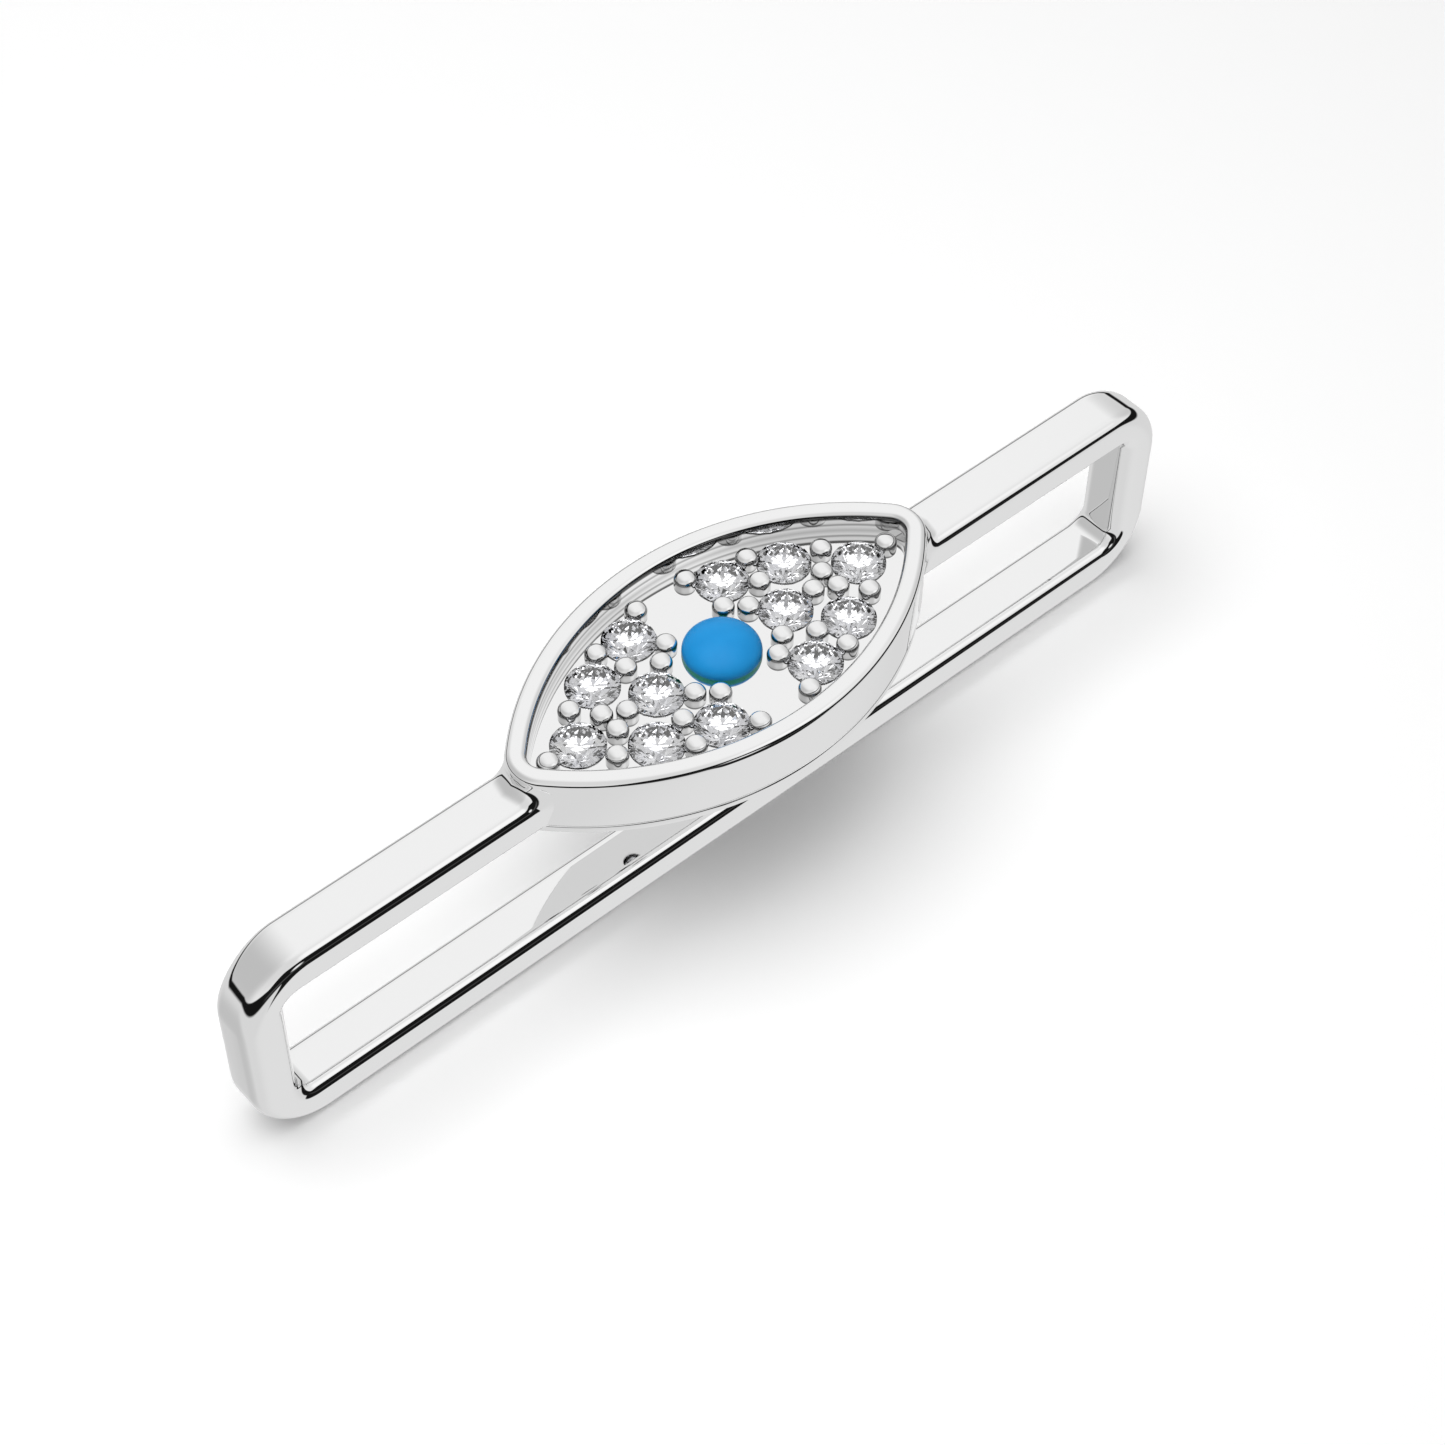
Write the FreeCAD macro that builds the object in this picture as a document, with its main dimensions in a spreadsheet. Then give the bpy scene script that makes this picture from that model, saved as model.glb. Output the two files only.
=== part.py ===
import FreeCAD, Part
import math
import os

# Strap slide: a flat rectangular loop that carries an eye-shaped (marquise) head on its top bar.
# Frame: +X along the loop, +Y through the loop, +Z up. Origin at the middle of the underside.

doc = FreeCAD.newDocument("marquise_slide")
sheet = doc.addObject("Spreadsheet::Sheet", "Sizes")

SIZES = [
    # loop of flat strip
    ("loop_length", 28.0),      # outside, leg to leg
    ("loop_height", 5.9),       # underside to the top of the arms
    ("strip_width", 1.4),       # along Y
    ("bar_thick", 1.1),         # lower bar and arms
    ("leg_thick", 1.15),        # end legs
    ("corner_out", 1.8),        # outer corner radius
    ("corner_in", 0.4),         # inner corner radius
    ("edge_round", 0.3),        # all long edges of the strip
    # head
    ("rim_rise", 0.6),          # rim above the arms
    ("head_drop", 0.03),        # head underside below the underside of the arms
    ("wall_thick", 0.5),        # side wall of the head
    ("tip_round", 0.4),         # inside radius at the two tips
    ("rim_round", 0.2),         # outer top edge of the wall
    ("foot_round", 0.05),       # outer edges either side of the seam under the wall
    ("lip_round", 0.08),        # inner edge of the rim
    ("floor_depth", 0.55),      # rim down to the floor
    ("flange_thick", 0.22),     # step of the floor plate that the wall stands on
    ("side_gap", 0.375),        # side stone to the widest point of the wall
    ("tip_gap", 0.82),          # tip stone to the point where the wall's arcs would meet
    # clear stones
    ("stone_dia", 1.3),
    ("table_share", 0.57),      # table over girdle diameter
    ("crown_high", 0.2),
    ("girdle_high", 0.03),
    ("pavilion_deep", 0.55),
    ("girdle_lift", 0.02),      # underside of the girdle above the floor
    ("axis_gap", 0.37),         # disc to the stone on the long axis
    ("side_ring_gap", 0.58),    # disc to the side stone
    ("row_nest", 0.08),         # how far the prongs between inner and tip stone nest together
    ("pair_nest", 1.0196),      # the same between tip and shoulder stone
    ("stone_play", 0.02),       # stone to seat and prong notch
    ("azure_dia", 0.5),         # hole under each stone
    # round-topped prongs
    ("prong_dia", 0.54),
    ("prong_high", 0.15),       # floor to the spring of the dome
    ("prong_dome", 0.13),
    ("prong_bite", 0.06),       # prong over the girdle
    ("tip_pair_gap", 0.1),      # prong to the line between tip and shoulder stones
    ("side_pair_gap", 0.13),    # prong to the line between shoulder and side stones
    ("disc_pair_gap", 0.023),   # half the gap between the two prongs beside the disc
    ("disc_ring_gap", 0.14),    # disc to that pair
    # coloured disc, a low cabochon
    ("disc_dia", 1.87),
    ("disc_side", 0.08),        # upright side above the floor
    ("disc_dome", 0.45),        # dome above that side
    ("disc_seat", 0.15),        # let into the floor
    ("disc_play", 0.02),
]

for row, (name, value) in enumerate(SIZES, start=1):
    sheet.set(f"A{row}", name)
    sheet.set(f"B{row}", str(value))
    sheet.setAlias(f"B{row}", name)
doc.recompute()


def size(name):
    """One driving dimension, as a plain number."""
    return float(sheet.get(name))


def bind(thing, **links):
    """Tie properties of an object to formulas over the sheet."""
    for prop, formula in links.items():
        words = formula
        for name in sorted((row[0] for row in SIZES), key=len, reverse=True):
            words = words.replace(f"<{name}>", f"Sizes.{name}")
        thing.setExpression(prop.replace("__", "."), words)
    return thing


def make(kind, name, **links):
    return bind(doc.addObject(kind, name), **links)


def join(kind, name, pieces):
    """A boolean of several objects: Part::MultiFuse, Part::MultiCommon or Part::Compound."""
    thing = doc.addObject(kind, name)
    if kind == "Part::Compound":
        thing.Links = pieces
    else:
        thing.Shapes = pieces
    return thing


def cut(name, base, tool):
    thing = doc.addObject("Part::Cut", name)
    thing.Base = base
    thing.Tool = tool
    return thing


def rounded(name, base, radius, wanted):
    """A fillet on every edge of base that the test picks."""
    doc.recompute()
    thing = doc.addObject("Part::Fillet", name)
    thing.Base = base
    edges = enumerate(base.Shape.Edges, start=1)
    thing.Edges = [(number, radius, radius) for number, edge in edges if wanted(edge)]
    doc.recompute()
    return thing


def along(axis, edge):
    """True for a straight edge that runs along an axis."""
    if edge.Curve.TypeId != "Part::GeomLine":
        return False
    return abs(edge.Curve.Direction.dot(axis)) > 0.999


def level(height, edge):
    """True for an edge that lies in one horizontal plane."""
    box = edge.BoundBox
    return abs(box.ZMin - height) < 1e-4 and abs(box.ZMax - height) < 1e-4


X_AXIS = FreeCAD.Vector(1, 0, 0)
Y_AXIS = FreeCAD.Vector(0, 1, 0)
Z_AXIS = FreeCAD.Vector(0, 0, 1)

# ---------------------------------------------------------------- stone and prong layout

STONE_R = size("stone_dia") / 2
DISC_R = size("disc_dia") / 2
PRONG_R = size("prong_dia") / 2
SIDE_STONE_TURN = math.radians(49.2)      # side stone, seen from the disc
SHOULDER_TURN = math.radians(139.9)       # shoulder stone, seen from the tip stone
DISC_PAIR_TURN = math.radians(35.2)       # pair of prongs beside the disc
DISC_PAIR_LEAN = math.radians(140.7)      # the way that pair runs
SIDE_PRONG_TURN = math.radians(140.7)     # last prong, seen from the side stone


def polar(start, reach, turn):
    return (start[0] + reach * math.cos(turn), start[1] + reach * math.sin(turn))


def astride(first, second, spread):
    """Two places either side of the middle of the line between two stones."""
    middle = ((first[0] + second[0]) / 2, (first[1] + second[1]) / 2)
    square = math.atan2(second[1] - first[1], second[0] - first[0]) - math.pi / 2
    return [polar(middle, spread, square), polar(middle, -spread, square)]


def mirrored(places):
    """Each place of one quarter, repeated over both axes without doubling those on an axis."""
    result = []
    for sign_x in (-1, 1):
        for x, y in places:
            sides = (1,) if abs(y) < 1e-9 else (-1, 1)
            result += [(sign_x * x, sign_y * y) for sign_y in sides]
    return result


def stone_quarter():
    inner = (DISC_R + size("axis_gap") + STONE_R, 0.0)
    tip = (inner[0] + 2 * STONE_R + 4 * PRONG_R - size("row_nest"), 0.0)
    # the two prongs nearest the long axis keep clear of each other, however thick they are
    crowd = 2 * PRONG_R * (1 - math.cos(SHOULDER_TURN)) / math.sin(SHOULDER_TURN)
    shoulder = polar(tip, 2 * STONE_R + crowd - size("pair_nest"), SHOULDER_TURN)
    side = polar((0, 0), DISC_R + size("side_ring_gap") + STONE_R, SIDE_STONE_TURN)
    return {"tip": tip, "shoulder": shoulder, "inner": inner, "side": side}


def prong_quarter(stones):
    reach = STONE_R + PRONG_R - size("prong_bite")
    places = [polar(stones["tip"], reach, 0), polar(stones["inner"], reach, 0)]
    places += astride(stones["tip"], stones["shoulder"], PRONG_R + size("tip_pair_gap"))
    places += astride(stones["shoulder"], stones["side"], PRONG_R + size("side_pair_gap"))
    middle = polar((0, 0), DISC_R + size("disc_ring_gap") + PRONG_R, DISC_PAIR_TURN)
    half = PRONG_R + size("disc_pair_gap")
    places += [polar(middle, half, DISC_PAIR_LEAN), polar(middle, -half, DISC_PAIR_LEAN)]
    places.append(polar(stones["side"], reach, SIDE_PRONG_TURN))
    return places


STONES = stone_quarter()
STONE_PLACES = mirrored(STONES.values())
PRONG_PLACES = mirrored(prong_quarter(STONES))

# ---------------------------------------------------------------- heights and head outline

RIM_TOP = size("loop_height") + size("rim_rise")
HEAD_BOTTOM = size("loop_height") - size("bar_thick") - size("head_drop")
FLOOR = RIM_TOP - size("floor_depth")
GIRDLE = FLOOR + size("girdle_lift")
SEAM = HEAD_BOTTOM + size("flange_thick")

inside_half_width = STONES["side"][1] + STONE_R + size("side_gap")
inside_half_length = STONES["tip"][0] + STONE_R + size("tip_gap")
ARC_R = (inside_half_length ** 2 + inside_half_width ** 2) / (2 * inside_half_width)
ARC_Y = ARC_R - inside_half_width


def eye_prism(name, grow, low, high, tip_radius):
    """An upright prism whose outline is two arcs that meet at rounded tips."""
    halves = []
    for side in (-1, 1):
        half = make("Part::Cylinder", f"{name}_arc{len(halves)}")
        half.Radius = ARC_R + grow
        half.Height = high - low
        half.Placement = FreeCAD.Placement(FreeCAD.Vector(0, side * ARC_Y, low), FreeCAD.Rotation())
        halves.append(half)
    eye = join("Part::MultiCommon", f"{name}_eye", halves)
    return rounded(f"{name}_prism", eye, tip_radius, lambda edge: along(Z_AXIS, edge))


# ---------------------------------------------------------------- loop of strip

def make_band():
    """The strip bent into a rectangle, open in the top bar where the head sits."""
    outer = make("Part::Box", "band_outer", Length="<loop_length>", Width="<strip_width>",
                 Height="<loop_height>", Placement__Base__x="-<loop_length>/2",
                 Placement__Base__y="-<strip_width>/2")
    inner = make("Part::Box", "band_inner", Length="<loop_length>-2*<leg_thick>",
                 Width="<strip_width>", Height="<loop_height>-2*<bar_thick>",
                 Placement__Base__x="-<loop_length>/2+<leg_thick>",
                 Placement__Base__y="-<strip_width>/2", Placement__Base__z="<bar_thick>")
    outer = rounded("band_outer_corners", outer, size("corner_out"), lambda e: along(Y_AXIS, e))
    inner = rounded("band_inner_corners", inner, size("corner_in"), lambda e: along(Y_AXIS, e))
    ring = cut("band_ring", outer, inner)
    face = size("strip_width") / 2

    def on_a_face(edge):
        box = edge.BoundBox
        return box.YLength < 1e-4 and abs(abs(box.YMin) - face) < 1e-4

    ring = rounded("band_soft", ring, size("edge_round"), on_a_face)
    clearance = eye_prism("band_gap", size("wall_thick"), HEAD_BOTTOM, RIM_TOP,
                          size("tip_round") + size("wall_thick"))
    return cut("band_loop", ring, clearance)


# ---------------------------------------------------------------- head

def make_wall():
    """The upright wall of the head, with soft outer edges and a rounded lip."""
    outside = eye_prism("wall_outer", size("wall_thick"), SEAM, RIM_TOP,
                        size("tip_round") + size("wall_thick"))
    outside = rounded("wall_shoulder", outside, size("rim_round"), lambda e: level(RIM_TOP, e))
    outside = rounded("wall_foot", outside, size("foot_round"), lambda e: level(SEAM, e))
    inside = eye_prism("wall_inner", 0, HEAD_BOTTOM, RIM_TOP + 1, size("tip_round"))
    ring = cut("wall_ring", outside, inside)
    inner_reach = inside_half_length + 1e-3

    def inner_lip(edge):
        if not level(RIM_TOP, edge):
            return False
        point = edge.valueAt((edge.FirstParameter + edge.LastParameter) / 2)
        from_arc = math.hypot(point.x, abs(point.y) + ARC_Y)
        return from_arc < ARC_R + 1e-3 and abs(point.x) < inner_reach

    return rounded("bezel_wall", ring, size("lip_round"), inner_lip)


def stone_solid(name, play):
    """Crown, girdle and pavilion of one round stone, girdle underside at height zero."""
    crown = make("Part::Cone", f"{name}_crown", Radius1=f"<stone_dia>/2+{play}",
                 Radius2=f"<stone_dia>*<table_share>/2+{play}", Height=f"<crown_high>+{play}",
                 Placement__Base__z="<girdle_high>")
    girdle = make("Part::Cylinder", f"{name}_girdle", Radius=f"<stone_dia>/2+{play}",
                  Height="<girdle_high>")
    pavilion = make("Part::Cone", f"{name}_pavilion", Radius1=f"{play}/2+0.01",
                    Radius2=f"<stone_dia>/2+{play}", Height=f"<pavilion_deep>+{play}",
                    Placement__Base__z=f"-<pavilion_deep>-{play}")
    return join("Part::MultiFuse", name, [crown, girdle, pavilion])


def copies(name, base, places, height):
    """The same solid set down at every place, as one compound for cutting."""
    links = []
    for number, (x, y) in enumerate(places, start=1):
        link = doc.addObject("Part::Feature", f"{name}_{number}")
        link.Shape = base.Shape
        link.Placement = FreeCAD.Placement(FreeCAD.Vector(x, y, height), FreeCAD.Rotation())
        links.append(link)
    return join("Part::Compound", name, links)


def make_stones():
    stones = []
    for number, (x, y) in enumerate(STONE_PLACES, start=1):
        stone = stone_solid(f"stone_{number:02d}", "0")
        stone.Placement = FreeCAD.Placement(FreeCAD.Vector(x, y, GIRDLE), FreeCAD.Rotation())
        stones.append(stone)
    return stones


def make_plate(stone_space):
    """The floor and flange of the head, with a seat and a hole under each stone and a bed for the disc."""
    flange = eye_prism("plate_flange", size("wall_thick"), HEAD_BOTTOM, SEAM,
                       size("tip_round") + size("wall_thick"))
    flange = rounded("plate_foot", flange, size("foot_round"),
                     lambda e: level(SEAM, e) or level(HEAD_BOTTOM, e))
    core = eye_prism("plate_core", 0, HEAD_BOTTOM, FLOOR, size("tip_round"))
    blank = join("Part::MultiFuse", "plate_blank", [flange, core])
    azure = make("Part::Cylinder", "azure_drill", Radius="<azure_dia>/2", Height="<loop_height>")
    doc.recompute()
    azures = copies("azures", azure, STONE_PLACES, 0)
    bed = make("Part::Cylinder", "disc_bed", Radius="<disc_dia>/2+<disc_play>", Height="<disc_seat>+1")
    bed.Placement.Base = FreeCAD.Vector(0, 0, FLOOR - size("disc_seat"))
    plate = cut("plate_seats", blank, stone_space)
    plate = cut("plate_azures", plate, azures)
    return cut("floor_plate", plate, bed)


def make_disc():
    side = make("Part::Cylinder", "disc_edge", Radius="<disc_dia>/2", Height="<disc_seat>+<disc_side>")
    side.Placement.Base = FreeCAD.Vector(0, 0, FLOOR - size("disc_seat"))
    dome = make("Part::Ellipsoid", "disc_top", Radius1="<disc_dome>", Radius2="<disc_dia>/2",
                Radius3="<disc_dia>/2", Angle1="0", Angle2="90")
    dome.Placement.Base = FreeCAD.Vector(0, 0, FLOOR + size("disc_side"))
    return join("Part::MultiFuse", "centre_disc", [side, dome])


def make_prong(name, x, y, stone_space):
    """A post with a low dome, notched where it holds the stones beside it."""
    post = make("Part::Cylinder", f"{name}_post", Radius="<prong_dia>/2", Height="<prong_high>")
    post.Placement.Base = FreeCAD.Vector(x, y, FLOOR)
    dome = make("Part::Ellipsoid", f"{name}_dome", Radius1="<prong_dome>", Radius2="<prong_dia>/2",
                Radius3="<prong_dia>/2", Angle1="0", Angle2="90")
    dome.Placement.Base = FreeCAD.Vector(x, y, FLOOR + size("prong_high"))
    bead = join("Part::MultiFuse", f"{name}_bead", [post, dome])
    return cut(name, bead, stone_space)


def make_parts():
    parts = [make_band(), make_wall()]
    stones = make_stones()
    cutter = stone_solid("stone_space_unit", "<stone_play>")
    doc.recompute()
    stone_space = copies("stone_space", cutter, STONE_PLACES, GIRDLE)
    parts.append(make_plate(stone_space))
    parts.append(make_disc())
    parts += stones
    for number, (x, y) in enumerate(PRONG_PLACES, start=1):
        parts.append(make_prong(f"prong_{number:02d}", x, y, stone_space))
    return parts


def check_and_write(parts):
    doc.recompute()
    for thing in doc.Objects:
        if "Invalid" in thing.State or "Error" in thing.State:
            raise RuntimeError(f"{thing.Name} did not build: {thing.State}")
    for part in parts:
        if part.Shape.isNull() or not part.Shape.isValid() or len(part.Shape.Solids) != 1:
            raise RuntimeError(f"{part.Name} is not one valid solid")
    os.makedirs("parts", exist_ok=True)
    for part in parts:
        part.Label = part.Name
        part.Shape.exportStep(f"parts/{part.Label}.step")


check_and_write(make_parts())
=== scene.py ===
# %% [markdown]
# # A strap slide with an eye-shaped head
#
# The object is a small piece of jewellery: a flat metal strip bent into a closed, rounded
# rectangle that slides over a strap, with an eye-shaped tray on its top bar. Twelve clear round
# stones, thirty-two round-topped prongs and one blue disc fill the tray.
#
# The sizes and places were settled in a CAD model, so this lesson starts by loading that model as
# a fixed frame. Each piece is then made again here with smooth curves, because a mirror finish
# shows every flat that a coarse mesh has.

# %% Load the frame
import math
import bmesh
import bpy
from mathutils import Matrix, Vector


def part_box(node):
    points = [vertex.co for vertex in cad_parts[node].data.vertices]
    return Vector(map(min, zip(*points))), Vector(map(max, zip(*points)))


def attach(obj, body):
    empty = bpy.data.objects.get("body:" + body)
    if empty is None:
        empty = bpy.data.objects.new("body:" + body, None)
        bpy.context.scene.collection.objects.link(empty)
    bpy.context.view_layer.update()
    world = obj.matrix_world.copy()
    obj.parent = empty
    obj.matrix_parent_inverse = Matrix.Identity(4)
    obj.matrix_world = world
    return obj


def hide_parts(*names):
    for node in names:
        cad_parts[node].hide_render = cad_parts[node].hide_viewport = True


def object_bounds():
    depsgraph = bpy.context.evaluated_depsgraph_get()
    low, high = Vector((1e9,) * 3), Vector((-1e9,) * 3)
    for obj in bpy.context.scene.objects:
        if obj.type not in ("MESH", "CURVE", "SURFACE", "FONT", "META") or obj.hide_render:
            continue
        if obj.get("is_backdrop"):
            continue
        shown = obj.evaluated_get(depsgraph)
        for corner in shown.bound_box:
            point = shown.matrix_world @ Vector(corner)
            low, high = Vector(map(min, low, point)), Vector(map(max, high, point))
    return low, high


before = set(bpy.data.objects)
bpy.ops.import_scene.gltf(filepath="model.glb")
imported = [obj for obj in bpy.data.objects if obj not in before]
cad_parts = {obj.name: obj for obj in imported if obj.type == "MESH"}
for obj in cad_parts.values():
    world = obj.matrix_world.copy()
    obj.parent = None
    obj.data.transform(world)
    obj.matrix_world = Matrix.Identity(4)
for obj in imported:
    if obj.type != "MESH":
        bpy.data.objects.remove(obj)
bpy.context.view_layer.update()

MM = 0.001  # everything is drawn in millimetres and shrunk to metres at the end


# %% [markdown]
# ## Sizes taken from the frame
#
# A node's box gives its lowest and highest corner. From the box of the upright wall and the
# radius of its tips we can work out the two arcs that make its outline: each is part of a large
# circle, and a small circle rounds the two tips where they meet.

# %% Read the frame's sizes
def box_mm(node):
    """Lowest and highest corner of a frame node, in millimetres."""
    low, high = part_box(node)
    return low / MM, high / MM


strip_high = box_mm("band_loop")[1]
wall_low, wall_high = box_mm("bezel_wall")
plate_low, plate_high = box_mm("floor_plate")
disc_low, disc_high = box_mm("centre_disc")

WALL = 0.5          # thickness of the upright wall
TIP_OUTSIDE = 0.9   # outside radius at the two tips
RIM_TOP = wall_high.z
SEAM = wall_low.z   # where the wall stands on the plate
FLOOR = plate_high.z
HEAD_BOTTOM = plate_low.z

TIP_X = wall_high.x - TIP_OUTSIDE
spare = wall_high.y - TIP_OUTSIDE
ARC_Y = (TIP_X ** 2 - spare ** 2) / (2 * spare)   # how far each arc's centre is off the long axis
TIP_TURN = math.atan2(ARC_Y, TIP_X)               # half the angle that a tip turns through
print("rim", round(RIM_TOP, 3), "seam", round(SEAM, 3), "floor", round(FLOOR, 3),
      "tip centre", round(TIP_X, 3), "arc centre", round(ARC_Y, 3))


# %% [markdown]
# ## Helpers that every piece shares
#
# A bmesh is Blender's workbench for a mesh: operators such as spin, bevel and extrude shape it.
# When a piece is ready, its doubled points are merged, its faces are turned outwards, it is shrunk
# to metres and hung on the frame's body. A Weighted Normal modifier makes the large flats shade
# flat while the small roundings between them stay smooth, as polished metal does.

# %% Turn a workbench mesh into a finished piece
SHARP_FROM = math.radians(32)             # edges that fold more than this stay crisp
SAME, SAME_FINE, TINY = 1e-4, 1e-5, 1e-6  # in mm: points closer than this count as one


def finish_piece(bench, name, nodes, finish, smooth=True, merge=SAME):
    """Cleans a mesh, makes it an object, hangs it on the frame's root body and hides the frame
    nodes that it replaces.
    """
    bmesh.ops.remove_doubles(bench, verts=bench.verts, dist=merge)
    bmesh.ops.recalc_face_normals(bench, faces=bench.faces)
    bmesh.ops.scale(bench, vec=(MM, MM, MM), verts=bench.verts)
    for face in bench.faces:
        face.smooth = smooth
    for edge in bench.edges:
        edge.smooth = edge.calc_face_angle(0) < SHARP_FROM
    open_edges = sum(1 for edge in bench.edges if len(edge.link_faces) != 2)
    mesh = bpy.data.meshes.new(name)
    bench.to_mesh(mesh)
    bench.free()
    mesh.materials.append(finish)
    piece = bpy.data.objects.new(name, mesh)
    bpy.context.scene.collection.objects.link(piece)
    if smooth:
        flats = piece.modifiers.new("flat faces shade flat", "WEIGHTED_NORMAL")
        flats.mode = "FACE_AREA"
        flats.weight = 100
        flats.keep_sharp = True
    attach(piece, "root")
    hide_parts(*nodes)
    if open_edges:
        print("  note:", name, "has", open_edges, "edges that don't join two faces")
    return piece


print("edges stay crisp from", round(math.degrees(SHARP_FROM)), "degrees")


# %% Grow a ring of edges
def grow(bench, ring):
    """Extrudes a ring of edges in place. Returns the new points and the new ring."""
    grown = bmesh.ops.extrude_edge_only(bench, edges=ring)["geom"]
    return ([g for g in grown if isinstance(g, bmesh.types.BMVert)],
            [g for g in grown if isinstance(g, bmesh.types.BMEdge)])


def carried_on(fresh, known):
    """Hands what is known of each old point on to the new point that grew from it."""
    return {v: known[next(e.other_vert(v) for e in v.link_edges if e.other_vert(v) in known)]
            for v in fresh}


# %% [markdown]
# ## Finish: polished white metal
#
# The strip and the head are bright white metal, polished to a mirror. A mirror has almost no
# colour or grain of its own, so what makes it look real is very small: a faint cloudiness where
# the polishing mop lingered, hairlines that only show where light grazes them, and a slow swell
# that bends long reflections a little. All come from noise on Object coordinates. The cloudiness
# drives the roughness within a narrow range. The hairlines, which are noise stretched along one
# direction, and the swell drive bumps of about a ten-thousandth of a millimetre at most.
#
# The fine dark lines round the prongs and just under the rim are, on the real piece, most likely
# reflections of a dark studio. This studio doesn't give them, so they are painted instead, as
# bands by height. That is a stand-in: painted bands stay put when the light changes, and
# reflections don't.

# %% Helpers for a finish
NOISE_LOW, NOISE_HIGH = 0.3, 0.7   # a noise seldom leaves this range


def new_finish(name):
    """A new material, with its nodes, its links and its main shader."""
    finish = bpy.data.materials.new(name)
    finish.use_nodes = True
    nodes, links = finish.node_tree.nodes, finish.node_tree.links
    return finish, nodes, links, nodes["Principled BSDF"]


def noise_on(nodes, links, scale, grain, stretch=(1, 1, 1)):
    """A noise in the piece's own space. scale is in spots per metre, grain is how fine it goes."""
    place = nodes.new("ShaderNodeTexCoord")
    turn = nodes.new("ShaderNodeMapping")
    turn.inputs["Scale"].default_value = stretch
    noise = nodes.new("ShaderNodeTexNoise")
    noise.inputs["Scale"].default_value = scale
    noise.inputs["Detail"].default_value = grain
    links.new(place.outputs["Object"], turn.inputs["Vector"])
    links.new(turn.outputs["Vector"], noise.inputs["Vector"])
    return noise


def spread(nodes, links, noise, low, high):
    """Maps a noise to the range low to high."""
    ramp = nodes.new("ShaderNodeMapRange")
    ramp.inputs["From Min"].default_value = NOISE_LOW
    ramp.inputs["From Max"].default_value = NOISE_HIGH
    ramp.inputs["To Min"].default_value = low
    ramp.inputs["To Max"].default_value = high
    links.new(noise.outputs[0], ramp.inputs["Value"])
    return ramp.outputs[0]


def bump_from(nodes, links, noise, strength, depth):
    """A bump as deep as depth, in metres, times its strength."""
    bump = nodes.new("ShaderNodeBump")
    bump.inputs["Strength"].default_value = strength
    bump.inputs["Distance"].default_value = depth
    links.new(noise.outputs[0], bump.inputs["Height"])
    return bump


# %% Polished metal
MOP_SPOTS, HAIR_SPOTS, SWELL_SPOTS = 900, 16000, 450   # per metre
HAIR_DEPTH, SWELL_DEPTH = 2e-6, 2e-5                    # in metres, at full strength
SWELL = 0.0015


def polished_metal(name, colour, cloud=(0.015, 0.05), hairline=0.04, stretch=(0.06, 1, 1)):
    """cloud is the range of roughness, hairline the strength of the hairlines, and stretch is
    smallest along the direction that they run in."""
    finish, nodes, links, shader = new_finish(name)
    shader.inputs["Metallic"].default_value = 1.0
    shader.inputs["Base Color"].default_value = (*colour, 1)
    mop = noise_on(nodes, links, MOP_SPOTS, 4)
    links.new(spread(nodes, links, mop, *cloud), shader.inputs["Roughness"])
    hairs = noise_on(nodes, links, HAIR_SPOTS, 3, stretch)
    ripple = noise_on(nodes, links, SWELL_SPOTS, 2)
    lines = bump_from(nodes, links, hairs, hairline, HAIR_DEPTH)
    swell = bump_from(nodes, links, ripple, SWELL, SWELL_DEPTH)
    links.new(lines.outputs[0], swell.inputs["Normal"])
    links.new(swell.outputs[0], shader.inputs["Normal"])
    return finish


STRIP_METAL = polished_metal("polished strip metal", (0.955, 0.955, 0.955))
HEAD_METAL = polished_metal("polished head metal", (0.955, 0.955, 0.955), stretch=(1, 0.08, 0.3))
FLOOR_METAL = polished_metal("polished tray floor", (0.95, 0.95, 0.95), cloud=(0.02, 0.07),
                             hairline=0.06, stretch=(0.1, 1, 1))
PRONG_METAL = polished_metal("burnished prong metal", (0.94, 0.94, 0.94), cloud=(0.02, 0.06),
                             hairline=0.05, stretch=(1, 1, 0.1))
print("metal finishes:", STRIP_METAL.name, HEAD_METAL.name, FLOOR_METAL.name, PRONG_METAL.name)


# %% Paint the dark reflections as bands
MIX_SHARE, MIX_FIRST, MIX_SECOND, MIX_RESULT = 0, 6, 7, 2   # sockets of a Mix node for colours
INWARD_NONE, INWARD_FULL = -0.2, -0.9                       # in mm, see inward_share


def inward_share(nodes, links, place, split):
    """How much a surface faces the middle of the object, from 0 to 1. Seen from above, its place
    times its normal is below zero where it faces inwards."""
    way = nodes.new("ShaderNodeNewGeometry")
    towards = nodes.new("ShaderNodeVectorMath")
    towards.operation = "DOT_PRODUCT"
    links.new(place.outputs["Object"], towards.inputs[0])
    links.new(way.outputs["Normal"], towards.inputs[1])
    upright = nodes.new("ShaderNodeSeparateXYZ")
    links.new(way.outputs["Normal"], upright.inputs[0])
    # taking the upright part away leaves only what lies in the level plane
    lift = nodes.new("ShaderNodeMath")
    lift.operation = "MULTIPLY"
    links.new(split.outputs["Z"], lift.inputs[0])
    links.new(upright.outputs["Z"], lift.inputs[1])
    level = nodes.new("ShaderNodeMath")
    level.operation = "SUBTRACT"
    links.new(towards.outputs["Value"], level.inputs[0])
    links.new(lift.outputs[0], level.inputs[1])
    inward = nodes.new("ShaderNodeMapRange")
    inward.inputs["From Min"].default_value = INWARD_NONE * MM
    inward.inputs["From Max"].default_value = INWARD_FULL * MM
    links.new(level.outputs[0], inward.inputs["Value"])
    return inward.outputs[0]


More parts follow.
